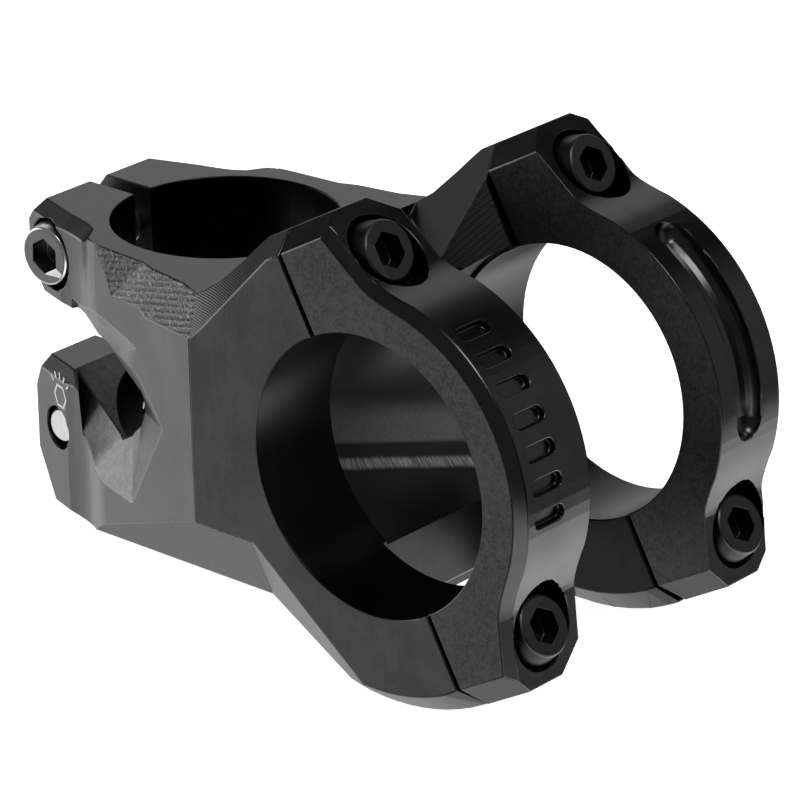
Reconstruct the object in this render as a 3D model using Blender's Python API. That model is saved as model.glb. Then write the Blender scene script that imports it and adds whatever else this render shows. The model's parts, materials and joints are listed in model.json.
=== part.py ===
# Bicycle handlebar stem: a machined body that clamps a steerer tube with two ears,
# and a handlebar with two separate faceplates. Lengths are in millimetres until a mesh is made.
# The steerer axis is Z, the handlebar lies along X and forward is -Y.

import math

import bmesh
import bpy
from mathutils import Matrix, Vector

MILLIMETRE = 0.001
FIT_GAP = 0.3
PAST = 6.0

# Steerer clamp
STEERER_RADIUS = 14.3
STACK_HEIGHT = 40.0
COLLAR_WALL = 3.7
SLOT_WIDTH = 2.8

# Pinch ears behind the steerer
EAR_BOLT_Y = 19.0
EAR_BEHIND_BOLT = 5.4
EAR_HALF_WIDTH = 12.0
EAR_TURN = math.radians(18.9)
EAR_CHAMFER = 1.6
UPPER_EAR_HEIGHT = 11.6
LOWER_EAR_HEIGHT = 19.0
UPPER_PINCH_Z = STACK_HEIGHT - 6.0
LOWER_PINCH_Z = 10.5

# Handlebar clamp
REACH = 44.8
BAR_DROP = 14.5
BAR_RADIUS = 17.5
BAR_WALL = 5.9
BAR_RELIEF = 0.5
RELIEF_LIP = 0.7
CLAMP_TILT = math.radians(29.1)
CLAMP_HALF_WIDTH = 24.6
ARM_WIDTH = 12.4
CLAMP_TOP = 30.1
CLAMP_BOTTOM = 29.9
PARTING_BACK = 0.3
PARTING_FRONT = 0.9

# Screws, M5 with a tapered cap head
SCREW_RADIUS = 2.5
HEAD_RADIUS = 4.25
HEAD_TOP_RADIUS = 3.6
HEAD_HEIGHT = 4.2
SOCKET_ACROSS_FLATS = 4.0
SOCKET_DEPTH = 2.6
WASHER_RADIUS = 4.2
WASHER_THICKNESS = 0.8
FACE_SCREW_X = 18.47
FACE_SCREW_U = 23.4
FACE_SCREW_HEAD_TOP = 11.7
FACE_SCREW_LENGTH = 18.0
FACE_COUNTERBORE = 4.9
PINCH_SCREW_LENGTH = 20.0
PINCH_COUNTERBORE = 4.6
PINCH_HEAD_PROUD = 1.0

# Marks machined into the faceplates
GROOVE_X = 17.6
GROOVE_RADIUS = 2.35
GROOVE_ANGLE = math.radians(31.0)
POCKET_X = -19.6
POCKET_COUNT = 7
POCKET_PITCH = math.radians(9.8)
POCKET_LENGTH = 5.2
POCKET_WIDTH = 1.9
POCKET_DEPTH = 0.9

BAR_HEIGHT = STACK_HEIGHT - BAR_DROP
BAR_OUTER = BAR_RADIUS + BAR_WALL
ARM_INNER = CLAMP_HALF_WIDTH - ARM_WIDTH
COLLAR_RADIUS = STEERER_RADIUS + COLLAR_WALL
HOLE_RADIUS = SCREW_RADIUS + FIT_GAP
FAR = 90.0


# Where a shape's own (a, b) outline and its depth c lie in the world

def along_x(a, b, c):
    return (c, a, b)


def along_z(a, b, c):
    return (a, b, c)


def clamp_point(x, n, u):
    """n is out of the parting plane and u is up along it, both from the bar's axis."""
    y = -REACH - n * math.cos(CLAMP_TILT) + u * math.sin(CLAMP_TILT)
    z = BAR_HEIGHT + n * math.sin(CLAMP_TILT) + u * math.cos(CLAMP_TILT)
    return (x, y, z)


def along_n(a, b, c):
    return clamp_point(a, c, b)


def across_clamp(a, b, c):
    return clamp_point(c, a, b)


def radial(angle):
    def place(a, b, c):
        n = c * math.cos(angle) - b * math.sin(angle)
        u = c * math.sin(angle) + b * math.cos(angle)
        return clamp_point(a, n, u)
    return place


# Outlines

def circle(radius, count, centre=(0.0, 0.0), start=0.0):
    points = []
    for step in range(count):
        angle = start + 2 * math.pi * step / count
        points.append((centre[0] + radius * math.cos(angle), centre[1] + radius * math.sin(angle)))
    return points


def arc(radius, first, last, count, centre=(0.0, 0.0)):
    points = []
    for step in range(count + 1):
        angle = first + (last - first) * step / count
        points.append((centre[0] + radius * math.cos(angle), centre[1] + radius * math.sin(angle)))
    return points


def curve(start, control, end, count):
    """Points of a quadratic curve, without its two ends."""
    points = []
    for step in range(1, count):
        t = step / count
        points.append(tuple(
            (1 - t) ** 2 * s + 2 * t * (1 - t) * c + t * t * e
            for s, c, e in zip(start, control, end)
        ))
    return points


def mirrored(outline):
    return outline + [(-a, b) for a, b in reversed(outline)]


# Solids

def make_object(name, bm):
    bmesh.ops.recalc_face_normals(bm, faces=bm.faces)
    mesh = bpy.data.meshes.new(name)
    bm.to_mesh(mesh)
    bm.free()
    made = bpy.data.objects.new(name, mesh)
    bpy.context.scene.collection.objects.link(made)
    return made


def loft(name, sections, ring=False):
    """A closed solid through sections of equal point counts, capped at both ends unless it is a ring."""
    bm = bmesh.new()
    loops = []
    for section in sections:
        loops.append([bm.verts.new(Vector(point) * MILLIMETRE) for point in section])
    pairs = list(zip(loops, loops[1:]))
    if ring:
        pairs.append((loops[-1], loops[0]))
    else:
        bm.faces.new(loops[0])
        bm.faces.new(loops[-1])
    sides = []
    for near, away in pairs:
        for index in range(len(near)):
            after = (index + 1) % len(near)
            sides.append(bm.faces.new((near[index], near[after], away[after], away[index])))
    bmesh.ops.triangulate(bm, faces=sides)
    return make_object(name, bm)


def prism(name, outline, place, low, high):
    return loft(name, [[place(a, b, depth) for a, b in outline] for depth in (low, high)])


def turned(name, profile, place, centre, count=48, ring=False):
    """A solid of revolution from (radius, depth) pairs."""
    sections = []
    for radius, depth in profile:
        sections.append([place(a, b, depth) for a, b in circle(radius, count, centre)])
    return loft(name, sections, ring)


def convex_block(name, low, high, planes):
    """The box from low to high, less what lies beyond each (point, outward normal) plane."""
    bm = bmesh.new()
    bmesh.ops.create_cube(bm, size=1.0)
    middle = (Vector(low) + Vector(high)) / 2
    size = Vector(high) - Vector(low)
    for vertex in bm.verts:
        vertex.co = Vector(c * s for c, s in zip(vertex.co, size)) + middle
    for point, normal in planes:
        everything = bm.verts[:] + bm.edges[:] + bm.faces[:]
        bmesh.ops.bisect_plane(bm, geom=everything, plane_co=point, plane_no=normal, clear_outer=True)
        rim = [edge for edge in bm.edges if edge.is_boundary]
        bmesh.ops.holes_fill(bm, edges=rim, sides=0)
    bmesh.ops.scale(bm, vec=(MILLIMETRE,) * 3, verts=bm.verts)
    return make_object(name, bm)


def hull(name, points):
    bm = bmesh.new()
    for point in points:
        bm.verts.new(Vector(point) * MILLIMETRE)
    made = bmesh.ops.convex_hull(bm, input=bm.verts)
    inside = [item for item in made["geom_interior"] if isinstance(item, bmesh.types.BMVert)]
    bmesh.ops.delete(bm, geom=inside, context="VERTS")
    return make_object(name, bm)


def combine(target, tool, operation="DIFFERENCE"):
    modifier = target.modifiers.new(tool.name, "BOOLEAN")
    modifier.operation = operation
    modifier.solver = "EXACT"
    modifier.object = tool
    weld = target.modifiers.new("weld", "WELD")
    weld.merge_threshold = 0.008 * MILLIMETRE
    tool.hide_render = True
    tool.display_type = "WIRE"


def set_origin(item, point):
    place = Vector(point) * MILLIMETRE
    item.data.transform(Matrix.Translation(-place))
    item.location = place


def finish(item, material):
    item.data.materials.append(material)
    item.data.shade_smooth()
    item.data.set_sharp_from_angle(angle=math.radians(30))


def make_material(name, colour, roughness, metallic):
    material = bpy.data.materials.new(name)
    material.use_nodes = True
    shader = material.node_tree.nodes["Principled BSDF"]
    shader.inputs["Base Color"].default_value = (*colour, 1.0)
    shader.inputs["Roughness"].default_value = roughness
    shader.inputs["Metallic"].default_value = metallic
    return material


# Body

def ear_side(y):
    """How far the ear's outer face is from the middle at y."""
    return EAR_HALF_WIDTH - (y - EAR_BOLT_Y) * math.tan(EAR_TURN)


def flare_angle():
    """The turn of the flat side that runs from the wide clamp to touch the round collar."""
    corner = Vector((CLAMP_HALF_WIDTH, flare_front()))
    return math.acos(COLLAR_RADIUS / corner.length) - math.atan2(-corner.y, corner.x)


def flare_front():
    return 28.0 - REACH


def collar_side():
    """The plan outline of one side, from the ear's rear end to the flare's front corner."""
    touch = flare_angle()
    leave = touch + math.radians(14)
    rear = EAR_BOLT_Y + EAR_BEHIND_BOLT + PAST
    fillet_end = (ear_side(EAR_BOLT_Y - 2.5), EAR_BOLT_Y - 2.5)
    outline = [(ear_side(rear), rear)]
    round_part = arc(COLLAR_RADIUS, leave, touch, 6)
    control = (ear_side(round_part[0][1] + 1.6) - 0.7, round_part[0][1] + 1.6)
    outline.append(fillet_end)
    outline += curve(fillet_end, control, round_part[0], 6)
    outline += round_part
    return outline


def plan_outline():
    front = [(CLAMP_HALF_WIDTH, flare_front())]
    run = Vector(front[0]) - Vector(collar_side()[-1])
    front.append(tuple(Vector(front[0]) + run * 0.3))
    front.append((front[-1][0], -FAR))
    return mirrored(collar_side() + front)


def body_profile(rounding, top, bottom, shoulder):
    """The side outline in (y, z). The chamfered sides use a smaller one with the same points."""
    rear = EAR_BOLT_Y + EAR_BEHIND_BOLT
    upper = STACK_HEIGHT
    outline = [
        (rear - 3.9, 0.0),
        (rear, 6.0),
        (rear, LOWER_EAR_HEIGHT - 4.5),
        (rear - 2.1, LOWER_EAR_HEIGHT),
        (rear - 3.4, upper - UPPER_EAR_HEIGHT),
        (rear, upper - UPPER_EAR_HEIGHT + 3.1),
        (rear, upper - 3.0),
        (rear - 2.4, upper),
    ]
    outline += shoulder
    outline += [clamp_point(0, PARTING_BACK, level)[1:] for level in (top, -bottom)]
    start = -math.pi / 2 - CLAMP_TILT + 0.03
    outline += arc(rounding, start + 0.05, -math.pi / 2 + 0.1, 8, (-REACH, BAR_HEIGHT))
    outline.append((-20.0, 0.0))
    return outline


def body_block():
    """The outer form: wide in the middle of its height, with chamfered edges at both sides."""
    foot = -15.1
    crest = clamp_point(0, PARTING_BACK - 4.0, CLAMP_TOP)[1:]
    shoulder = [
        (foot, STACK_HEIGHT),
        (foot - 3.7, STACK_HEIGHT + 2.4),
        (foot - 8.1, STACK_HEIGHT + 6.4),
        (foot - 9.9, STACK_HEIGHT + 8.2),
        crest,
    ]
    low_crest = clamp_point(0, PARTING_BACK - 2.2, CLAMP_TOP - 2.4)[1:]
    low_foot = (flare_front() - 0.2, STACK_HEIGHT - 4.4)
    low_shoulder = [low_foot]
    for share in (0.2, 0.5, 0.75, 1.0):
        low_shoulder.append(tuple(Vector(low_foot).lerp(Vector(low_crest), share)))
    outer = body_profile(CLAMP_BOTTOM, CLAMP_TOP, CLAMP_BOTTOM, shoulder)
    side = body_profile(CLAMP_BOTTOM - 2.8, CLAMP_TOP - 2.4, CLAMP_BOTTOM - 3.0, low_shoulder)
    stations = (
        (-CLAMP_HALF_WIDTH, side),
        (-CLAMP_HALF_WIDTH + 3.5, outer),
        (CLAMP_HALF_WIDTH - 3.5, outer),
        (CLAMP_HALF_WIDTH, side),
    )
    return loft("stem_body", [[along_x(y, z, x) for y, z in outline] for x, outline in stations])


def belly_cutter(side):
    """Two planes meet in a valley under each side of the body."""
    low = (-FAR, -FAR, -FAR)
    high = (FAR, FAR, FAR)
    edge = (side * CLAMP_HALF_WIDTH, 18.5 - REACH, 11.9)
    planes = [
        (edge, (side * -0.778, 0.0, 0.628)),
        (edge, (side * -0.806, -0.366, 0.467)),
    ]
    return convex_block(f"belly_cutter_{side}", low, high, planes)


def shoulder_cutter(side):
    """The rough facet along the collar's top edge, steeper towards the rear."""
    top = [(16.4, 8.0), (17.2, 4.4), (18.6, -5.2), (21.1, -15.1)]
    foot = [(16.6, 8.0, 39.2), (17.95, 3.2, 36.2), (20.55, -4.5, 35.2), (24.7, -16.9, 35.6)]
    sections = []
    for (x, y), low in zip(top, foot):
        above = Vector((x, y, STACK_HEIGHT))
        below = Vector(low)
        slope = (above - below) * 0.6
        outside = Vector((12.0, 0.0, 6.0)) + above
        points = [above + slope, below - slope, outside]
        sections.append([(side * p.x, p.y, p.z) for p in points])
    return loft(f"shoulder_cutter_{side}", sections)


def ear_edge_cutter(side):
    """The chamfer along the upper ear's outer edge, which fades out along the collar."""
    corners = collar_side()[:-2]
    path = corners[:1]
    path += [tuple((Vector(a) + Vector(b)) / 2) for a, b in zip(corners[1:], corners[2:])]
    sections = []
    beyond = 0.8
    for index, (x, y) in enumerate(path):
        ahead = Vector(path[min(index + 1, len(path) - 1)])
        behind = Vector(path[max(index - 1, 0)])
        run = (ahead - behind).normalized()
        out = Vector((-run.y, run.x)) if run.y < 0 else Vector((run.y, -run.x))
        left = len(path) - 1 - index
        size = min(EAR_CHAMFER, EAR_CHAMFER * left / 4 - 0.2)
        inner = Vector((x, y)) - out * (size + beyond)
        outer = Vector((x, y)) + out * beyond
        sections.append([
            (side * inner.x, inner.y, STACK_HEIGHT + beyond),
            (side * outer.x, outer.y, STACK_HEIGHT - size - beyond),
            (side * outer.x, outer.y, STACK_HEIGHT + beyond),
        ])
    return loft(f"ear_edge_cutter_{side}", sections)


def lower_ear_cutter(side):
    rear = EAR_BOLT_Y + EAR_BEHIND_BOLT + PAST
    front = EAR_BOLT_Y - 4.5
    sections = []
    for y in (rear, front):
        x = ear_side(y)
        sections.append([
            (side * (x - EAR_CHAMFER - 1.5), y, LOWER_EAR_HEIGHT + 1.5),
            (side * (x + 1.5), y, LOWER_EAR_HEIGHT - EAR_CHAMFER - 1.5),
            (side * (x + 1.5), y, LOWER_EAR_HEIGHT + 1.5),
        ])
    return loft(f"lower_ear_cutter_{side}", sections)


def window_outline():
    """The (y, z) outline of the hole through the collar, open to the gap between the ears."""
    gap_top = STACK_HEIGHT - UPPER_EAR_HEIGHT
    return [
        (13.5, gap_top - 0.2),
        (12.0, gap_top - 0.2),
        (7.2, 24.3),
        (1.6, 19.9),
        (1.4, 18.1),
        (3.6, 14.3),
        (5.5, 13.2),
        (EAR_BOLT_Y - 2.8, LOWER_EAR_HEIGHT),
        (EAR_BOLT_Y - 2.8, LOWER_EAR_HEIGHT + 2.0),
    ]


def window_flare(side):
    """The hole widens to the outside, down to a point at its foot."""
    inside = [(14.0, y, z) for y, z in window_outline()[2:7]]
    inside += [(10.9, EAR_BOLT_Y - 2.8, LOWER_EAR_HEIGHT), (13.6, 9.0, 26.2)]
    outside = [
        (19.0, -1.1, 26.1),
        (21.8, -8.9, 21.5),
        (21.7, -8.7, 20.6),
        (18.6, 0.2, 8.6),
        (18.5, 0.5, 8.6),
        (14.15, 12.6, 11.2),
        (14.3, 11.5, 27.0),
    ]
    points = []
    for near, away in zip(inside, outside):
        for share in (-0.12, 1.5):
            points.append(Vector(near).lerp(Vector(away), share))
    return hull(f"window_flare_{side}", [(side * p.x, p.y, p.z) for p in points])


def window_brow(side):
    inside = [(12.6, 13.6, 28.2), (13.6, 7.4, 24.0), (12.6, 13.6, 23.0)]
    outside = [(14.1, 12.8, 30.0), (19.1, -1.35, 29.2), (18.7, -0.4, 25.2), (14.1, 12.8, 22.0)]
    points = [Vector(point) for point in inside]
    middle = Vector((13.5, 9.0, 25.5))
    for away in outside:
        points.append(middle.lerp(Vector(away), 1.35))
    return hull(f"window_brow_{side}", [(side * p.x, p.y, p.z) for p in points])


def valley_cutter():
    """The dip between the arms, in front of the collar."""
    floor = STACK_HEIGHT - 1.2
    low = (-FAR, -FAR, floor)
    high = (FAR, -15.3, FAR)
    planes = []
    for side in (-1, 1):
        planes.append(((side * 17.3, -20.6, 44.0), (side * 0.635, -0.538, -0.555)))
    return convex_block("valley_cutter", low, high, planes)


def notch_cutter():
    """The upright faces between the arms, which close in at 45 degrees behind the parting plane."""
    n_axis = Vector((0, -math.cos(CLAMP_TILT), math.sin(CLAMP_TILT)))
    corner = clamp_point(0, PARTING_FRONT - 0.1, 0)
    floor = STACK_HEIGHT - 1.2
    low = (-ARM_INNER, -FAR, floor)
    high = (ARM_INNER, FAR, FAR)
    planes = []
    for side in (-1, 1):
        point = Vector(corner) + Vector((side * ARM_INNER, 0, 0))
        planes.append((point, (Vector((side, 0, 0)) - n_axis).normalized()))
    return convex_block("notch_cutter", low, high, planes)


def jaw_cutter():
    """The open space between the arms below the bar, back to an upright wall."""
    wall = 8.8 - REACH
    top = BAR_HEIGHT - 8.0
    outline = [(wall, top), (wall, 1.0), (wall + 4.5, -3.5), (wall + 10, -12), (-FAR, -12), (-FAR, top)]
    return prism("jaw_cutter", outline, along_x, -ARM_INNER, ARM_INNER)


def jaw_edge_cutter(side):
    """The chamfer along an arm's inner lower edge."""
    sections = []
    outer = CLAMP_BOTTOM
    start = -math.pi / 2 - 0.55
    for step in range(13):
        angle = start + 1.2 * step / 12
        row = []
        for radius, x in ((outer - 4.4, ARM_INNER - 1.4), (outer + 1.5, ARM_INNER + 4.2), (outer + 4, ARM_INNER - 1.4)):
            row.append(clamp_point(side * x, radius * math.cos(angle), radius * math.sin(angle)))
        sections.append(row)
    return loft(f"jaw_edge_cutter_{side}", sections)


def screw_hole(name, place, centre, bottom, seat, counterbore, top):
    profile = [(HOLE_RADIUS, bottom), (HOLE_RADIUS, seat), (counterbore, seat), (counterbore, top)]
    return turned(name, profile, place, centre, 48)


def pinch_seat():
    """How far the floor of a pinch screw's counterbore is from the middle."""
    head = EAR_HALF_WIDTH + PINCH_HEAD_PROUD - HEAD_HEIGHT
    return head - 2 * FIT_GAP - WASHER_THICKNESS


def face_seat():
    head = FACE_SCREW_HEAD_TOP - HEAD_HEIGHT
    return head - 2 * FIT_GAP - WASHER_THICKNESS


def facing_x(side):
    """Along X with depth counted outward on the given side."""
    def place(a, b, c):
        return (side * c, a, b)
    return place


def stem_body(material):
    body = body_block()
    combine(body, prism("plan", plan_outline(), along_z, -FAR, FAR), "INTERSECT")
    side_cutters = (
        ear_edge_cutter, lower_ear_cutter, belly_cutter, shoulder_cutter, window_flare, window_brow,
    )
    for side_cutter in side_cutters:
        for side in (-1, 1):
            combine(body, side_cutter(side))
    combine(body, prism("window", window_outline(), along_x, -14.4, 14.4))
    gap_outline = [(EAR_BOLT_Y - 3.0, LOWER_EAR_HEIGHT), (FAR, LOWER_EAR_HEIGHT)]
    gap_outline += [(FAR, STACK_HEIGHT - UPPER_EAR_HEIGHT), (12.5, STACK_HEIGHT - UPPER_EAR_HEIGHT)]
    combine(body, prism("ear_gap", gap_outline, along_x, -FAR, FAR))
    combine(body, valley_cutter())
    combine(body, notch_cutter())
    combine(body, jaw_cutter())
    for side in (-1, 1):
        combine(body, jaw_edge_cutter(side))
    combine(body, prism("steerer_bore", circle(STEERER_RADIUS, 80), along_z, -FAR, FAR))
    half_slot = SLOT_WIDTH / 2
    slot_outline = [(-half_slot, 8.0), (half_slot, 8.0), (half_slot, FAR), (-half_slot, FAR)]
    combine(body, prism("slot", slot_outline, along_z, -FAR, FAR))
    combine(body, prism("bar_bore", circle(BAR_RADIUS, 96), across_clamp, -FAR, FAR))
    relief_edge = ARM_INNER - RELIEF_LIP
    relief_outline = circle(BAR_RADIUS + BAR_RELIEF, 80)
    combine(body, prism("bar_relief", relief_outline, across_clamp, -relief_edge, relief_edge))
    for side in (-1, 1):
        for level in (-1, 1):
            centre = (side * FACE_SCREW_X, level * FACE_SCREW_U)
            bottom = FACE_SCREW_HEAD_TOP - HEAD_HEIGHT - FACE_SCREW_LENGTH - 3 * FIT_GAP
            hole = prism(f"thread_{side}_{level}", circle(HOLE_RADIUS, 32, centre), along_n, bottom, PAST)
            combine(body, hole)
    for side, height in ((-1, UPPER_PINCH_Z), (1, LOWER_PINCH_Z)):
        centre = (EAR_BOLT_Y, height)
        combine(body, screw_hole(
            f"pinch_hole_{side}", facing_x(side), centre, -FAR, pinch_seat(), PINCH_COUNTERBORE, FAR,
        ))
    finish(body, material)
    return body


# Faceplates

def faceplate_outline(top, bottom, inset):
    """One C-shaped section in (n, u): two bosses joined by the round strap over the bar."""
    back = PARTING_FRONT
    outer = BAR_OUTER - inset
    outline = [(back, top), (8.4 - inset + (CLAMP_TOP - top) * 0.426, top)]
    boss_foot = (12.36 - inset, 20.8)
    strap_start = (math.sqrt(outer ** 2 - 16.5 ** 2), 16.5)
    control = (12.9 - inset, 19.5)
    outline.append(boss_foot)
    outline += curve(boss_foot, control, strap_start, 5)
    half = math.asin(16.5 / outer)
    outline += arc(outer, half, -half, 24)
    outline += [(n, -u) for n, u in reversed(curve(boss_foot, control, strap_start, 5))]
    outline.append((boss_foot[0], -boss_foot[1]))
    outline += [(8.4 - inset + (CLAMP_BOTTOM - bottom) * 0.426, -bottom), (back, -bottom)]
    reach = math.acos(back / BAR_RADIUS)
    outline += arc(BAR_RADIUS, -reach, reach, 48)
    return outline


def faceplate_block(name, side):
    stations = (
        (ARM_INNER, CLAMP_TOP - 2.8, CLAMP_BOTTOM - 3.1, 0.0),
        (ARM_INNER + 3.4, CLAMP_TOP, CLAMP_BOTTOM, 0.0),
        (CLAMP_HALF_WIDTH - 3.1, CLAMP_TOP, CLAMP_BOTTOM, 0.0),
        (CLAMP_HALF_WIDTH - 1.25, CLAMP_TOP - 1.43, CLAMP_BOTTOM - 1.8, 0.0),
        (CLAMP_HALF_WIDTH, CLAMP_TOP - 2.4, CLAMP_BOTTOM - 3.0, 1.25),
    )
    sections = []
    for x, top, bottom, inset in stations:
        outline = faceplate_outline(top, bottom, inset)
        sections.append([clamp_point(side * x, n, u) for n, u in outline])
    return loft(name, sections)


def groove_cutter():
    """A round-bottomed channel with ball ends, along the strap."""
    depth_radius = BAR_OUTER + 0.2
    sections = []
    end_share = GROOVE_RADIUS / depth_radius
    stations = []
    for step in range(5):
        turn = math.pi / 2 * (step + 0.4) / 5
        stations.append((-GROOVE_ANGLE - end_share * math.cos(turn), math.sin(turn)))
    for step in range(17):
        stations.append((-GROOVE_ANGLE + 2 * GROOVE_ANGLE * step / 16, 1.0))
    stations += [(-angle, share) for angle, share in reversed(stations[:5])]
    for angle, share in stations:
        row = []
        for a, b in circle(GROOVE_RADIUS * share, 20):
            radius = depth_radius + b
            row.append(clamp_point(GROOVE_X + a, radius * math.cos(angle), radius * math.sin(angle)))
        sections.append(row)
    return loft("groove_cutter", sections)


def pocket_cutter(index):
    angle = (index - (POCKET_COUNT - 1) / 2) * POCKET_PITCH
    half = (POCKET_LENGTH - POCKET_WIDTH) / 2
    round_end = POCKET_WIDTH / 2
    outline = arc(round_end, -math.pi / 2, math.pi / 2, 8, (POCKET_X + half, 0.0))
    outline += arc(round_end, math.pi / 2, 3 * math.pi / 2, 8, (POCKET_X - half, 0.0))
    low = BAR_OUTER - POCKET_DEPTH
    return prism(f"pocket_{index}", outline, radial(angle), low, BAR_OUTER + PAST)


def faceplate(name, side, cutters, material):
    plate = faceplate_block(name, side)
    for level in (-1, 1):
        centre = (side * FACE_SCREW_X, level * FACE_SCREW_U)
        combine(plate, screw_hole(
            f"{name}_hole_{level}", along_n, centre, -PAST, face_seat(), FACE_COUNTERBORE, FAR,
        ))
    for cutter in cutters:
        combine(plate, cutter)
    finish(plate, material)
    set_origin(plate, clamp_point(side * FACE_SCREW_X, PARTING_FRONT, 0))
    return plate


# Screws and washers

def cap_screw(name, place, centre, head_top, length, material):
    """Depth runs outward, and the head's flat top is at head_top."""
    under = head_top - HEAD_HEIGHT
    profile = [
        (SCREW_RADIUS - 0.5, under - length),
        (SCREW_RADIUS, under - length + 0.5),
        (SCREW_RADIUS, under),
        (HEAD_RADIUS - 0.15, under),
        (HEAD_RADIUS, under + 0.15),
        (HEAD_RADIUS, under + 1.8),
        (HEAD_TOP_RADIUS + 0.15, head_top - 0.2),
        (HEAD_TOP_RADIUS - 0.1, head_top),
    ]
    screw = turned(name, profile, place, centre, 36)
    corner = SOCKET_ACROSS_FLATS / 2 / math.cos(math.pi / 6)
    socket_outline = circle(corner, 6, centre, math.pi / 2)
    combine(screw, prism(f"{name}_socket", socket_outline, place, head_top - SOCKET_DEPTH, head_top + PAST))
    finish(screw, material)
    set_origin(screw, place(*centre, head_top))
    return screw


def washer(name, place, centre, low, material):
    inner = HOLE_RADIUS
    profile = [
        (WASHER_RADIUS, low),
        (WASHER_RADIUS, low + WASHER_THICKNESS),
        (inner, low + WASHER_THICKNESS),
        (inner, low),
    ]
    ring = turned(name, profile, place, centre, 36, ring=True)
    finish(ring, material)
    set_origin(ring, place(*centre, low))
    return ring


def clear_scene():
    for item in list(bpy.data.objects):
        bpy.data.objects.remove(item, do_unlink=True)


def build():
    clear_scene()
    anodised = make_material("black_anodised", (0.022, 0.022, 0.024), 0.32, 0.85)
    blasted = make_material("black_plate", (0.016, 0.016, 0.018), 0.36, 0.85)
    black_steel = make_material("black_steel", (0.02, 0.02, 0.02), 0.3, 0.9)
    silver = make_material("silver_steel", (0.72, 0.72, 0.72), 0.22, 1.0)
    stem_body(anodised)
    pockets = [pocket_cutter(index) for index in range(POCKET_COUNT)]
    faceplate("faceplate_right", -1, pockets, blasted)
    faceplate("faceplate_left", 1, [groove_cutter()], blasted)
    for side, side_name in ((-1, "right"), (1, "left")):
        for level, level_name in ((1, "upper"), (-1, "lower")):
            centre = (side * FACE_SCREW_X, level * FACE_SCREW_U)
            tail = f"{side_name}_{level_name}"
            cap_screw(
                f"face_bolt_{tail}", along_n, centre, FACE_SCREW_HEAD_TOP, FACE_SCREW_LENGTH, black_steel,
            )
            washer(f"face_washer_{tail}", along_n, centre, face_seat() + FIT_GAP, black_steel)
    pinch_top = EAR_HALF_WIDTH + PINCH_HEAD_PROUD
    for side, height, tail in ((-1, UPPER_PINCH_Z, "upper"), (1, LOWER_PINCH_Z, "lower")):
        centre = (EAR_BOLT_Y, height)
        place = facing_x(side)
        cap_screw(f"pinch_bolt_{tail}", place, centre, pinch_top, PINCH_SCREW_LENGTH, silver)
        washer(f"pinch_washer_{tail}", place, centre, pinch_seat() + FIT_GAP, silver)


build()
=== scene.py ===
import json
import math

import bmesh
import bpy
from mathutils import Matrix, Vector


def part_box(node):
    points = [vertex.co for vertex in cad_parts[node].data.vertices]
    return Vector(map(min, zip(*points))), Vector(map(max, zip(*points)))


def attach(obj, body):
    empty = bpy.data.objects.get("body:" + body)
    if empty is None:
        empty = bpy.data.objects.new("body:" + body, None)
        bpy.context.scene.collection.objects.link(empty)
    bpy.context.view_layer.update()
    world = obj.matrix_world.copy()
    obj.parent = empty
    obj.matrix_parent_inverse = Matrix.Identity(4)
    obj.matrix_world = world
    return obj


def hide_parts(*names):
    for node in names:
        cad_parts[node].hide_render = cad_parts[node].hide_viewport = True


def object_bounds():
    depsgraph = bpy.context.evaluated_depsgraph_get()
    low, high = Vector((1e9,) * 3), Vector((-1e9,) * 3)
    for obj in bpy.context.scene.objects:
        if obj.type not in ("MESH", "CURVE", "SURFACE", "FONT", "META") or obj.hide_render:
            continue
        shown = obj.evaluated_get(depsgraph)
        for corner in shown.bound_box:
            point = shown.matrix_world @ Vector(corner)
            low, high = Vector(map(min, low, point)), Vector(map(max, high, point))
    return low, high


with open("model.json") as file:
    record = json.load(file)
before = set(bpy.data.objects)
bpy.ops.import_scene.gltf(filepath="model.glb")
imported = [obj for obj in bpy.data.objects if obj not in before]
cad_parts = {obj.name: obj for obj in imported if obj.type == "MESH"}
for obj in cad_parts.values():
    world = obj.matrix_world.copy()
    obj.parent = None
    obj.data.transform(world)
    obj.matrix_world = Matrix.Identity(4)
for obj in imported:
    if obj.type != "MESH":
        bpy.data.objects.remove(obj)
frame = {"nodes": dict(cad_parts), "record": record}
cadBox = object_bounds()
mm = 0.001
print("frame loaded:", len(frame["nodes"]), "nodes")

# the bar clamp's own directions: out of the parting plane, and up along it
clamp = {"tilt": math.radians(29.1), "barY": -44.8 * mm, "barZ": 25.5 * mm}
clampOut = Vector((0, -math.cos(clamp["tilt"]), math.sin(clamp["tilt"])))
clampUp = Vector((0, math.sin(clamp["tilt"]), math.cos(clamp["tilt"])))
barCentre = Vector((0, clamp["barY"], clamp["barZ"]))


class Value:
    # wraps one output socket, so that sums and products add Math nodes
    def __init__(self, wiring, socket):
        self.wiring = wiring
        self.socket = socket

    def maths(self, operation, *others):
        return self.wiring.add("ShaderNodeMath", {"operation": operation}, {
            index: item for index, item in enumerate((self, *others))
        })

    def __add__(self, other):
        return self.maths("ADD", other)

    def __sub__(self, other):
        return self.maths("SUBTRACT", other)

    def __mul__(self, other):
        return self.maths("MULTIPLY", other)

    def __truediv__(self, other):
        return self.maths("DIVIDE", other)

    def __rsub__(self, other):
        return (self * -1.0) + other

    __radd__ = __add__
    __rmul__ = __mul__

    def sine(self):
        return self.maths("SINE")

    def size(self):
        return self.maths("ABSOLUTE")

    def atMost(self, other):
        return self.maths("MINIMUM", other)

    def ramp(self, low, high):
        # 0 below low and 1 above high, smooth between
        return self.wiring.add("ShaderNodeMapRange", {"interpolation_type": "SMOOTHSTEP"}, {
            "Value": self, "From Min": low, "From Max": high,
        })


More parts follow.
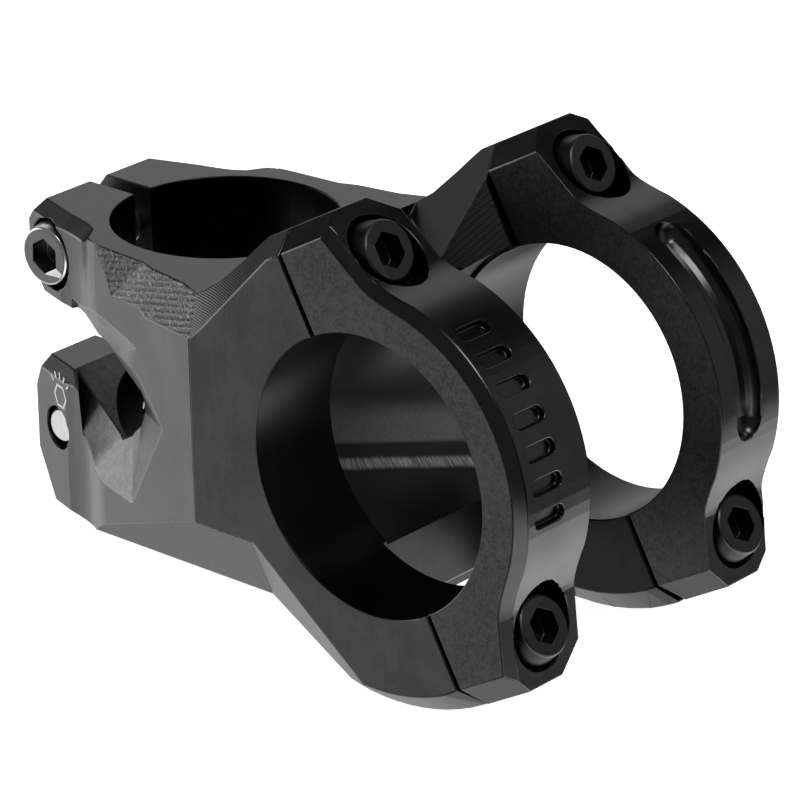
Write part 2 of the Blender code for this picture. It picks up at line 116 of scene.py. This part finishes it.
class Wiring:
    def __init__(self, tree):
        self.tree = tree

    def add(self, kind, settings=None, values=None, out=0):
        node = self.tree.nodes.new(kind)
        for key, setting in (settings or {}).items():
            setattr(node, key, setting)
        for key, item in (values or {}).items():
            socket = node.inputs[key]
            if isinstance(item, Value):
                self.tree.links.new(item.socket, socket)
            else:
                socket.default_value = item
        return Value(self, node.outputs[out])

    def place(self):
        return self.add("ShaderNodeTexCoord", out="Object")

    def along(self, vector, direction):
        settings = {"operation": "DOT_PRODUCT"}
        return self.add("ShaderNodeVectorMath", settings, {0: vector, 1: direction}, "Value")

    def noise(self, vector, scale, detail=3.0, roughness=0.55):
        return self.add("ShaderNodeTexNoise", None, {
            "Vector": vector, "Scale": scale, "Detail": detail, "Roughness": roughness,
        })

    def blend(self, share, first, second):
        node = self.tree.nodes.new("ShaderNodeMix")
        node.data_type = "RGBA"
        for index, item in ((0, share), (6, first), (7, second)):
            if isinstance(item, Value):
                self.tree.links.new(item.socket, node.inputs[index])
            else:
                node.inputs[index].default_value = item
        return Value(self, node.outputs[2])


def grey(level):
    return (level, level, level, 1.0)


def startMaterial(name, metallic):
    material = bpy.data.materials.new(name)
    material.use_nodes = True
    wiring = Wiring(material.node_tree)
    shader = material.node_tree.nodes["Principled BSDF"]
    shader.inputs["Metallic"].default_value = metallic
    return material, wiring, shader


def finishMaterial(wiring, shader, colour, roughness, height, depth):
    tree = wiring.tree
    tree.links.new(colour.socket, shader.inputs["Base Color"])
    tree.links.new(roughness.socket, shader.inputs["Roughness"])
    bump = wiring.add("ShaderNodeBump", None, {"Height": height, "Distance": depth})
    tree.links.new(bump.socket, shader.inputs["Normal"])


# anodised metal: each finish is a level of grey, a roughness and a pattern cut into it; the darker greys
# inside the bores and on the arms' inner sides are painted shade, and the paler grey of the window walls is
# painted light
finishes = {
    "topFace": {"grey": 0.052, "rough": 0.34, "grain": 0.5},
    "flare": {"grey": 0.052, "rough": 0.3, "grain": 0.35},
    "borePaintedShade": {"grey": 0.012, "rough": 0.3, "grain": 0.3},
    "blasted": {"grey": 0.052, "rough": 0.4, "grain": 1.6},
    "windowWallPaintedLight": {"grey": 0.12, "rough": 0.42, "grain": 1.0},
    "gloss": {"grey": 0.05, "rough": 0.22, "grain": 0.15},
    "innerSidePaintedShade": {"grey": 0.02, "rough": 0.3, "grain": 0.3},
}
# sizes of the noise, all per metre, and how deep the grain is
grain = {"fine": 2600.0, "mottle": 900.0, "streaks": 2520.0, "streakStretch": 0.04, "clouds": 130.0,
         "depth": 0.01 * mm}


def anodised(name):
    look = finishes[name]
    material, wiring, shader = startMaterial(name, 1.0)
    place = wiring.place()
    fine = wiring.noise(place, grain["fine"], 4.0)
    cloud = wiring.noise(place, grain["clouds"], 3.0)
    stretch = {0: place, "Scale": (1, 1, grain["streakStretch"])}
    streaks = wiring.noise(wiring.add("ShaderNodeMapping", None, stretch), grain["streaks"], 2.0)
    mottle = wiring.noise(place, grain["mottle"], 4.0, 0.7).ramp(0.32, 0.68)
    speckle = fine.ramp(0.35, 0.65)
    shade = cloud.ramp(0.3, 0.7) * 0.3 + (mottle + speckle) * (0.3 * look["grain"]) + streaks * 0.2
    shade = shade + (0.5 - 0.3 * look["grain"]) * 0.8
    colour = wiring.blend(shade.atMost(1.0), grey(look["grey"] * 0.5), grey(look["grey"] * 1.5))
    roughness = cloud * 0.1 + fine * 0.12 + (look["rough"] - 0.1)
    height = fine * look["grain"] + streaks * 0.3
    finishMaterial(wiring, shader, colour, roughness, height, grain["depth"])
    return material


# tool marks: the direction that the ridges follow each other in, their pitch and depth in mm, and
# how much of the surface is torn into chips; a second direction makes a crossed pattern
toolMarks = {
    "roughFacet": {"across": (0.25, 0.2, 0.95), "pitch": 0.75, "cut": 0.05, "grey": 0.075, "rough": 0.42,
                   "chips": 1.0},
    "shoulderLines": {"across": (0.25, 0.0, 0.97), "pitch": 0.28, "cut": 0.02, "grey": 0.05, "rough": 0.34},
    "ripples": {"across": (0.75, 0.66, 0.0), "pitch": 0.8, "cut": 0.03, "grey": 0.028, "rough": 0.32},
    "weave": {"across": (0.7, 0.0, 0.7), "slant": (0.7, 0.1, -0.7), "pitch": 0.42, "cut": 0.006,
              "grey": 0.08, "rough": 0.34, "chips": 0.1},
}
toolGrain = {"wander": 160.0, "fine": 3400.0, "chips": 2300.0}


def milled(name):
    # straight or crossed tool marks: ridges across the given direction
    look = toolMarks[name]
    material, wiring, shader = startMaterial(name, 1.0)
    place = wiring.place()
    turns = 2 * math.pi / (look["pitch"] * mm)
    wander = wiring.noise(place, toolGrain["wander"], 2.0)
    ridge = (wiring.along(place, look["across"]) * turns + wander * 1.2).sine() * 0.5 + 0.5
    if "slant" in look:
        crossing = (wiring.along(place, look["slant"]) * turns).sine() * 0.5 + 0.5
        ridge = (ridge + crossing) * 0.5
    fine = wiring.noise(place, toolGrain["fine"], 4.0)
    chips = wiring.noise(place, toolGrain["chips"], 2.0).ramp(0.45, 0.62) * look.get("chips", 0.0)
    shade = (ridge * 0.55 + fine * 0.25 + chips).atMost(1.0)
    colour = wiring.blend(shade, grey(look["grey"] * 0.5), grey(look["grey"] * 1.7))
    roughness = fine * 0.2 + (look["rough"] - 0.1)
    height = ridge + fine * 0.25 + chips
    finishMaterial(wiring, shader, colour, roughness, height, look["cut"] * mm)
    return material


# lengths in mm: the painted highlight band lies at its height along up, the camera's up direction, and a
# painted paler zone lies above it
paintedWallLight = {"grey": 0.04, "rough": 0.3, "sheen": 0.5, "up": (0.29, 0.26, 0.92), "highlightHeight": 6.1,
              "highlightBand": 0.9, "wander": 0.8, "paintedPaleFrom": (2.2, 2.8), "paintedPaleTo": (5.0, 8.5)}


def paintedReliefLight():
    # the wall between the arms: a painted reflection highlight as a brushed band, level in the camera's
    # view, and painted paler light above it
    material, wiring, shader = startMaterial("reliefPaintedSheen", 1.0)
    place = wiring.place()
    # height along the camera's up direction, so the painted highlight and the painted pale zone lie level in
    # the view
    level = wiring.along(place, paintedWallLight["up"]) - paintedWallLight["highlightHeight"] * mm
    stretched = wiring.add("ShaderNodeMapping", None, {0: place, "Scale": (1, 0.1, 0.1)})
    brush = wiring.noise(stretched, 4200.0, 2.0)
    fine = wiring.noise(place, 2400.0, 3.0)
    drift = paintedWallLight["wander"] * mm
    off = (level + wiring.noise(place, 90.0, 2.0) * drift - drift / 2).size()
    width = paintedWallLight["highlightBand"] * mm
    highlightBand = 1.0 - off.ramp(width * 0.3, width)
    rise, fall = ([value * mm for value in paintedWallLight[key]] for key in ("paintedPaleFrom", "paintedPaleTo"))
    paintedPale = level.ramp(*rise) * (1.0 - level.ramp(*fall))
    # painted reflection highlight in the band, and painted paler light above it, over the wall's dark grey
    shade = highlightBand * (brush.ramp(0.35, 0.7) * 0.8 + 0.3) + paintedPale * (fine * 0.3 + 0.16)
    colour = wiring.blend(shade.atMost(1.0), grey(paintedWallLight["grey"]), grey(paintedWallLight["sheen"]))
    finishMaterial(wiring, shader, colour, fine * 0.1 + paintedWallLight["rough"], fine, 0.004 * mm)
    return material


steels = {
    "blackSteel": {"grey": 0.07, "rough": 0.26, "streak": 0.1},
    "silverSteel": {"grey": 0.75, "rough": 0.18, "streak": 0.12},
    # painted shade: the sockets' greys are darker than their screws' steel, for the shade inside the hexagon
    # recesses
    "blackSocket": {"grey": 0.05, "rough": 0.2, "streak": 0.1},
    "silverSocket": {"grey": 0.16, "rough": 0.22, "streak": 0.1},
}


def steel(name):
    look = steels[name]
    material, wiring, shader = startMaterial(name, 1.0)
    place = wiring.place()
    fine = wiring.noise(place, 2200.0, 4.0)
    cloud = wiring.noise(place, 700.0, 2.0)
    colour = wiring.blend(cloud, grey(look["grey"] * 0.8), grey(min(1.0, look["grey"] * 1.2)))
    roughness = cloud * 0.12 + fine * look["streak"] + look["rough"]
    finishMaterial(wiring, shader, colour, roughness, fine + cloud, 0.008 * mm)
    return material


def makeMaterials():
    made = {name: anodised(name) for name in finishes}
    made.update((name, milled(name)) for name in toolMarks)
    made.update((name, steel(name)) for name in steels)
    made["reliefPaintedSheen"] = paintedReliefLight()
    return made


materials = makeMaterials()
print("materials made:", len(materials))


# where each cutter worked, in mm: lowest and highest along an axis
zones = {
    "wallRadius": 18.2, "wallHalf": 12.0, "barRadius": 17.8, "steererRadius": 14.6, "top": 39,
    "armsFrom": -20,
    "bridge": {"y": (5, 17), "z": (8, 30), "half": 15.5, "slope": 0.15},
    "facet": {"y": (-17, 8.5), "z": (34, 40.1), "slope": (0.02, 0.68)},
    "shoulder": {"y": -15, "z": 35, "slope": 0.3},
    "belly": {"y": -14, "slope": -0.5},
    "notch": {"z": 38.5, "out": -11},
    "window": {"y": (-9, 13), "z": (8, 30), "half": 12, "slope": 0.12},
}


def within(value, limits):
    return limits[0] < value < limits[1]


def bodyFinish(centre, normal):
    # which tool cut this face
    x, y, z = (value / mm for value in centre)
    outward = normal.x * (1 if x > 0 else -1)
    fromBar = Vector((0, centre.y, centre.z)) - barCentre
    radius = fromBar.length / mm
    bridge, facet, shoulder, window = (zones[key] for key in ("bridge", "facet", "shoulder", "window"))
    # the wall between the arms takes the painted highlight and the painted pale zone
    if radius < zones["wallRadius"] and abs(x) < zones["wallHalf"] and y < zones["armsFrom"]:
        return "reliefPaintedSheen"
    # the bores take a darker grey, painted shade
    if radius < zones["barRadius"] and abs(normal.x) < 0.1:
        return "borePaintedShade"
    if math.hypot(x, y) < zones["steererRadius"] and abs(normal.z) < 0.1:
        return "borePaintedShade"
    if normal.z > 0.99 and z > zones["top"]:
        return "topFace"
    # the arms' inner sides take a darker grey, painted shade between the arms
    if outward < -0.99 and y < zones["armsFrom"]:
        return "innerSidePaintedShade"
    if abs(normal.x) > 0.99:
        return "flare"
    # the bridge and window walls take a paler grey, painted light
    if within(y, bridge["y"]) and within(z, bridge["z"]) and abs(x) < bridge["half"]:
        if abs(normal.z) > bridge["slope"]:
            return "windowWallPaintedLight"
    if within(y, facet["y"]) and within(z, facet["z"]) and outward > 0.5:
        if within(normal.z, facet["slope"]):
            return "roughFacet"
    if y < shoulder["y"] and z > shoulder["z"] and outward > 0.5 and normal.z > shoulder["slope"]:
        return "shoulderLines"
    if outward > 0.6 and normal.z < zones["belly"]["slope"] and y > zones["belly"]["y"]:
        return "ripples"
    if z > zones["notch"]["z"] and outward < -0.5 and abs(normal.y) > 0.5:
        if fromBar.dot(clampOut) / mm > zones["notch"]["out"]:
            return "weave"
    if within(y, window["y"]) and within(z, window["z"]) and outward > 0.2:
        if abs(x) > window["half"] and abs(normal.z) > window["slope"]:
            return "windowWallPaintedLight"
    return "flare"


def plateFinish(centre, normal):
    fromBar = Vector((0, centre.y, centre.z)) - barCentre
    if abs(normal.x) > 0.99:
        return "blasted"
    # the plate's bore takes the darker grey, painted shade
    if fromBar.length / mm < zones["barRadius"]:
        return "borePaintedShade"
    return "gloss"


edges = {
    "shortest": 0.35 * mm, "narrowest": 0.25 * mm, "angle": math.radians(18), "flat": math.radians(0.6),
    "body": 0.16 * mm, "plate": 0.14 * mm, "screw": 0.08 * mm,
}


def shellCopy(node, name, finishOf, slots, bevel):
    # a merged copy of a CAD solid, with real rounded edges
    mesh = frame["nodes"][node].data.copy()
    mesh.name = name
    mesh.materials.clear()
    bm = bmesh.new()
    bm.from_mesh(mesh)
    bmesh.ops.remove_doubles(bm, verts=bm.verts, dist=0.002 * mm)
    bmesh.ops.dissolve_degenerate(bm, edges=bm.edges, dist=0.004 * mm)
    bmesh.ops.dissolve_limit(bm, angle_limit=edges["flat"], verts=bm.verts, edges=bm.edges)
    for slot in slots:
        mesh.materials.append(materials[slot])
    for face in bm.faces:
        face.material_index = slots.index(finishOf(face.calc_center_median(), face.normal))
    weight = bm.edges.layers.float.new("bevel_weight_edge")
    for edge in bm.edges:
        # slivers and the shallow relief inside the bar's bore keep their sharp edges
        if len(edge.link_faces) != 2 or edge.calc_length() < edges["shortest"]:
            continue
        if any(slots[face.material_index] == "reliefPaintedSheen" for face in edge.link_faces):
            continue
        narrowest = min(face.calc_area() for face in edge.link_faces) / edge.calc_length()
        if edge.calc_face_angle() > edges["angle"] and narrowest > edges["narrowest"]:
            edge[weight] = 1.0
    # the narrow ring beside the relief is too hollow for one many-sided face
    walls = [face for face in bm.faces if slots[face.material_index] == "reliefPaintedSheen"]
    bmesh.ops.triangulate(bm, faces=[face for face in walls if len(face.verts) > 4])
    bm.to_mesh(mesh)
    bm.free()
    shell = bpy.data.objects.new(name, mesh)
    bpy.context.scene.collection.objects.link(shell)
    mesh.shade_smooth()
    mesh.set_sharp_from_angle(angle=edges["angle"])
    edge = shell.modifiers.new("edge", "BEVEL")
    edge.width = bevel
    edge.segments = 2
    edge.limit_method = "WEIGHT"
    edge.use_clamp_overlap = False
    edge.miter_outer = "MITER_ARC"
    level = shell.modifiers.new("level", "WEIGHTED_NORMAL")
    level.mode = "FACE_AREA"
    level.weight = 50
    level.keep_sharp = True
    return shell


def bodyOf(node):
    for body, members in frame["record"]["behaviour"]["bodies"].items():
        if node in members:
            return body


def settle(piece, node):
    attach(piece, bodyOf(node))
    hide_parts(node)


def makeShells():
    bodySlots = ["flare", "borePaintedShade", "topFace", "roughFacet", "shoulderLines", "ripples", "weave", "windowWallPaintedLight",
                 "innerSidePaintedShade", "reliefPaintedSheen"]
    shell = shellCopy("stem_body", "stemShell", bodyFinish, bodySlots, edges["body"])
    settle(shell, "stem_body")
    for side in ("right", "left"):
        node = f"faceplate_{side}"
        plateSlots = ["blasted", "borePaintedShade", "gloss"]
        plate = shellCopy(node, f"plateShell_{side}", plateFinish, plateSlots, edges["plate"])
        settle(plate, node)


makeShells()
print("shells made")


# how far from its axis a screw's hexagon reaches, in mm: its floor and its walls
sockets = {"floor": 2.4, "wall": 2.2}


def screwSteelOrShade(middle, axis, headSide, slots):
    # the walls and floor of the hexagon are close to the axis, on the head's side; they take the socket
    # material, whose darker grey is painted shade
    def finishOf(centre, normal):
        reach = (centre - middle).dot(axis)
        away = ((centre - middle) - axis * reach).length / mm
        floor = abs(normal.dot(axis)) > 0.9 and away < sockets["floor"]
        wall = abs(normal.dot(axis)) < 0.1 and away < sockets["wall"]
        return slots[1] if (floor or wall) and reach * headSide > 0 else slots[0]

    return finishOf


def coatScrews():
    # bolts and washers: black ones hold the faceplates, bright ones pinch the steerer
    for name in list(frame["nodes"]):
        if not name.startswith(("face_", "pinch_")):
            continue
        low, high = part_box(name)
        middle = (low + high) / 2
        pinch = name.startswith("pinch_")
        finish = "silver" if pinch else "black"
        axis = Vector((1, 0, 0)) if pinch else clampOut
        headSide = 1 if not pinch or middle.x > 0 else -1
        # the second slot is the socket's darker grey, painted shade
        slots = [f"{finish}Steel", f"{finish}Socket"]
        finishOf = screwSteelOrShade(middle, axis, headSide, slots)
        screw = shellCopy(name, f"{name}_shell", finishOf, slots, edges["screw"])
        settle(screw, name)


coatScrews()
print("screws made")


# in mm: the ridge's height over the shank, and how far behind the tip it starts
threads = {"pitch": 0.8, "height": 0.12, "shank": 2.5, "faceLength": 16.5, "pinchLength": 18.5, "lead": 0.8}


def threadTree():
    # a coil of one pitch per turn, swept with a small three-sided profile
    tree = bpy.data.node_groups.new("threadRidge", "GeometryNodeTree")
    tree.interface.new_socket("Geometry", in_out="OUTPUT", socket_type="NodeSocketGeometry")
    names = ("Pitch", "Length", "Radius", "Height")
    for name in names:
        tree.interface.new_socket(name, in_out="INPUT", socket_type="NodeSocketFloat")
    tree.interface.new_socket("Material", in_out="INPUT", socket_type="NodeSocketMaterial")
    wiring = Wiring(tree)
    asked = wiring.add("NodeGroupInput").socket.node.outputs
    pitch, length, radius, height = (Value(wiring, asked[name]) for name in names)
    coil = wiring.add("GeometryNodeCurveSpiral", None, {
        "Resolution": 28, "Rotations": length / pitch, "Start Radius": radius, "End Radius": radius,
        "Height": length,
    })
    profile = wiring.add("GeometryNodeCurvePrimitiveCircle", None, {"Resolution": 3, "Radius": height})
    ridge = wiring.add("GeometryNodeCurveToMesh", None, {0: coil, 1: profile, "Fill Caps": True})
    real = wiring.add("GeometryNodeRealizeInstances", None, {0: ridge})
    coated = wiring.add("GeometryNodeSetMaterial", None, {
        0: real, "Material": Value(wiring, asked["Material"]),
    })
    out = tree.nodes.new("NodeGroupOutput")
    tree.links.new(coated.socket, out.inputs[0])
    return tree


def frozen(made, name, spin):
    # the evaluated mesh as a plain object, turned into place
    bpy.context.view_layer.update()
    graph = bpy.context.evaluated_depsgraph_get()
    mesh = bpy.data.meshes.new_from_object(made.evaluated_get(graph))
    mesh.transform(spin)
    bpy.data.objects.remove(made)
    piece = bpy.data.objects.new(name, mesh)
    bpy.context.scene.collection.objects.link(piece)
    return piece


def cutThreads():
    tree = threadTree()
    for name, node in frame["nodes"].items():
        if "_bolt_" not in name:
            continue
        pinch = name.startswith("pinch_")
        finish = "silverSteel" if pinch else "blackSteel"
        length = threads["pinchLength"] if pinch else threads["faceLength"]
        low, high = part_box(name)
        inward = -clampOut
        if pinch:
            inward = Vector((1 if low.x + high.x < 0 else -1, 0, 0))
        # the screw's axis runs down its middle, and its tip is the farthest corner along that axis
        corners = [node.matrix_world @ v.co for v in node.data.vertices]
        across = inward.orthogonal().normalized()
        start = inward * (max(c.dot(inward) for c in corners) - threads["lead"] * mm)
        for side in (across, inward.cross(across)):
            reach = [c.dot(side) for c in corners]
            start += side * (min(reach) + max(reach)) / 2
        blank = bpy.data.objects.new("coil", bpy.data.meshes.new("coil"))
        bpy.context.scene.collection.objects.link(blank)
        wanted = {
            "Pitch": threads["pitch"] * mm, "Length": length * mm, "Radius": threads["shank"] * mm,
            "Height": threads["height"] * mm, "Material": materials[finish],
        }
        coil = blank.modifiers.new("coil", "NODES")
        coil.node_group = tree
        for item in tree.interface.items_tree:
            if item.in_out == "INPUT":
                coil[item.identifier] = wanted[item.name]
        spin = Matrix.Translation(start) @ (-inward).to_track_quat("Z", "Y").to_matrix().to_4x4()
        ridge = frozen(blank, f"{name}_thread", spin)
        ridge.data.shade_smooth()
        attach(ridge, bodyOf(name))


cutThreads()
print("threads made")


# lengths in mm, angles in degrees, and line is a share of the hexagon; the ear is its half width at
# one depth, and how far its side leans in towards the rear
mark = {
    "middle": (17.9, 15.2), "radius": 1.75, "line": 0.22, "lift": 0.015,
    "ticks": 5, "tickStep": 24, "tickStart": 1.35, "tickLength": 0.9, "tickHalf": 0.16,
    "earHalf": 12.0, "earDepth": 19.0, "earLean": 18.9,
}


def ring(bm, points, width):
    # a closed flat line of the given width through the corners
    count = len(points)
    centre = sum(points, Vector((0, 0))) / count
    inner = [bm.verts.new((*(centre + (p - centre) * (1 - width)), 0)) for p in points]
    outer = [bm.verts.new((*p, 0)) for p in points]
    for index in range(count):
        after = (index + 1) % count
        bm.faces.new((inner[index], outer[index], outer[after], inner[after]))


def makeMark():
    # a hexagon under a row of ticks: tighten with a hexagon key, in steps
    material, wiring, shader = startMaterial("etched", 0.0)
    place = wiring.place()
    speck = wiring.noise(place, 3000.0, 3.0)
    colour = wiring.blend(speck, grey(0.5), grey(0.8))
    finishMaterial(wiring, shader, colour, speck * 0.1 + 0.5, speck, 0.003 * mm)
    bm = bmesh.new()
    radius = mark["radius"] * mm
    angles = [math.pi / 3 * index for index in range(6)]
    ring(bm, [Vector((math.cos(angle), math.sin(angle))) * radius for angle in angles], mark["line"])
    for index in range(mark["ticks"]):
        angle = math.radians(90 + (index - (mark["ticks"] - 1) / 2) * mark["tickStep"])
        out = Vector((math.cos(angle), math.sin(angle)))
        across = Vector((-out.y, out.x)) * mark["tickHalf"] * mm
        start = out * radius * mark["tickStart"]
        end = start + out * mark["tickLength"] * mm
        corners = (start - across, end - across, end + across, start + across)
        bm.faces.new([bm.verts.new((*corner, 0)) for corner in corners])
    bmesh.ops.recalc_face_normals(bm, faces=bm.faces)
    mesh = bpy.data.meshes.new("keyMark")
    bm.to_mesh(mesh)
    bm.free()
    # the right side of the lower ear leans in towards the rear
    y, z = mark["middle"]
    turn = math.radians(mark["earLean"])
    out = Vector((-math.cos(turn), math.sin(turn), 0))
    up = Vector((0, 0, 1))
    across = up.cross(out)
    face = -(mark["earHalf"] - (y - mark["earDepth"]) * math.tan(turn)) * mm
    origin = Vector((face, y * mm, z * mm)) + out * mark["lift"] * mm
    mesh.transform(Matrix.Translation(origin) @ Matrix((across, up, out)).transposed().to_4x4())
    mesh.materials.append(material)
    piece = bpy.data.objects.new("keyMark", mesh)
    bpy.context.scene.collection.objects.link(piece)
    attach(piece, bodyOf("stem_body"))


makeMark()
print("mark made")


def towards(turn, height):
    # a turn about Z from straight ahead, and a height above the horizon, both in degrees
    turn = math.radians(turn)
    height = math.radians(height)
    flat = math.cos(height)
    return Vector((math.sin(turn) * flat, -math.cos(turn) * flat, math.sin(height)))


# the camera: turn about Z, height above the horizon and a small lean, in degrees
view = {"azimuth": -48.33, "elevation": 22.77, "lean": -1.07, "lens": 230.4, "sensor": 36.0,
        "place": (-428.1, -409.3, 263.4)}


def makeCamera():
    turn = math.radians(view["azimuth"])
    lean = math.radians(view["lean"])
    back = towards(view["azimuth"], view["elevation"])
    right = Vector((math.cos(turn), math.sin(turn), 0))
    up = back.cross(right)
    tiltedRight = right * math.cos(lean) + up * math.sin(lean)
    tiltedUp = up * math.cos(lean) - right * math.sin(lean)
    data = bpy.data.cameras.new("camera")
    data.lens = view["lens"]
    data.sensor_width = view["sensor"]
    data.clip_start = 0.01
    camera = bpy.data.objects.new("camera", data)
    spin = Matrix((tiltedRight, tiltedUp, back)).transposed().to_4x4()
    camera.matrix_world = Matrix.Translation(Vector(view["place"]) * mm) @ spin
    bpy.context.scene.collection.objects.link(camera)
    bpy.context.scene.camera = camera


# soft boxes and dark cards of the studio: a turn about Z from straight ahead, a height above the
# horizon, both in degrees, how wide each is at full and at no strength, and its level
studio = {
    "floorDrop": 0.4 * mm,
    "floorSize": 3.0,
    "floorGlow": 0.95,
    "dark": 0.035,
    "lights": (
        ("topGlow", 131, 22, 14, 34, 0.78),
        ("rightDim", -80, 30, 40, 80, 0.11),
        ("leftFill", 42, 12, 16, 42, 0.34),
        ("backStrip", -163, 5, 7, 24, 3.2),
        ("backLow", -171, -24, 12, 30, 1.1),
        ("sideLow", -132, -27, 11, 28, 0.85),
        ("frontLow", 20, -52, 20, 40, 1.8),
        ("rightLow", -50, -38, 12, 28, 1.9),
        ("leftLow", 70, -42, 14, 28, 1.7),
        ("underBack", 160, -44, 14, 36, 0.7),
        ("under", 0, -90, 20, 50, 0.5),
        ("overhead", -15, 62, 5, 14, 8.0),
        ("leftLamp", 60, 58, 3, 8, 4.0),
    ),
}


def makeFloor():
    bm = bmesh.new()
    half = studio["floorSize"] / 2
    low = cadBox[0][2] - studio["floorDrop"]
    corners = ((-half, -half), (half, -half), (half, half), (-half, half))
    bm.faces.new([bm.verts.new((x, y, low)) for x, y in corners])
    mesh = bpy.data.meshes.new("floor")
    bm.to_mesh(mesh)
    bm.free()
    floor = bpy.data.objects.new("floor", mesh)
    bpy.context.scene.collection.objects.link(floor)
    floor.visible_glossy = False
    material, wiring, shader = startMaterial("paleFloor", 0.0)
    shader.inputs["Roughness"].default_value = 0.9
    shader.inputs["Base Color"].default_value = grey(0.95)
    shader.inputs["Emission Color"].default_value = grey(1.0)
    shader.inputs["Emission Strength"].default_value = studio["floorGlow"]
    mesh.materials.append(material)


def makeSky():
    world = bpy.data.worlds.new("studio")
    world.use_nodes = True
    wiring = Wiring(world.node_tree)
    ground = world.node_tree.nodes["Background"]
    direction = wiring.add("ShaderNodeTexCoord", out="Generated")
    level = Value(wiring, wiring.add("ShaderNodeValue").socket)
    level.socket.default_value = studio["dark"]
    for _, turn, height, full, none, strength in studio["lights"]:
        nearness = wiring.along(direction, towards(turn, height))
        glow = nearness.ramp(math.cos(math.radians(none)), math.cos(math.radians(full)))
        level = level + glow * strength
    path = wiring.add("ShaderNodeLightPath", None, None, "Is Camera Ray")
    strength = path + (1.0 - path) * level
    world.node_tree.links.new(strength.socket, ground.inputs["Strength"])
    ground.inputs["Color"].default_value = grey(1.0)
    bpy.context.scene.world = world


makeCamera()
makeFloor()
makeSky()
bpy.context.scene.view_settings.view_transform = "Standard"
print("studio made")
